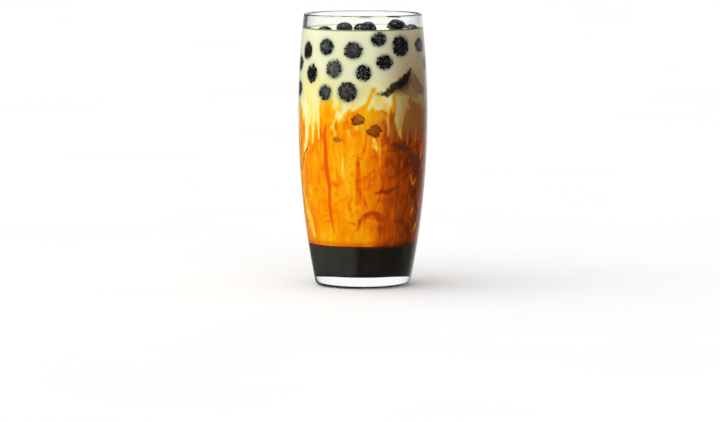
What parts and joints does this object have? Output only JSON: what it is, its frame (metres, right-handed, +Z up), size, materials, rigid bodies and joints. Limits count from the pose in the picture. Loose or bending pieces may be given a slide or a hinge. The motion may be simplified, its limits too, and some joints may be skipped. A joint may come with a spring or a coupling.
{
  "type": "bubble tea",
  "caption": "Tall barrel-shaped glass of brown sugar milk tea: dark syrup on the thick base, marbled tea, creamy milk, tapioca pearls floating in the surface.",
  "frame": {"origin": "centre of the foot, on the surface the glass stands on", "axes": "+Z up the glass's axis towards the rim; the front, the side that shows best, faces -Y"},
  "size_m": [0.075, 0.075, 0.158],
  "materials": {
    "glass": "clear polished soda-lime glass",
    "syrup": "thick black-brown sugar syrup",
    "tea": "amber brown-sugar tea marbled with milk",
    "milk": "creamy milk",
    "pearl": "glossy wet cooked tapioca"
  },
  "bodies": {
    "root": {"glass": "glass", "syrup": "syrup", "tea": "tea", "milk": "milk", "pearl_1": "pearl", "pearl_2": "pearl", "pearl_3": "pearl", "pearl_4": "pearl", "pearl_5": "pearl", "pearl_6": "pearl", "pearl_7": "pearl", "pearl_8": "pearl", "pearl_9": "pearl"}
  },
  "joints": []
}
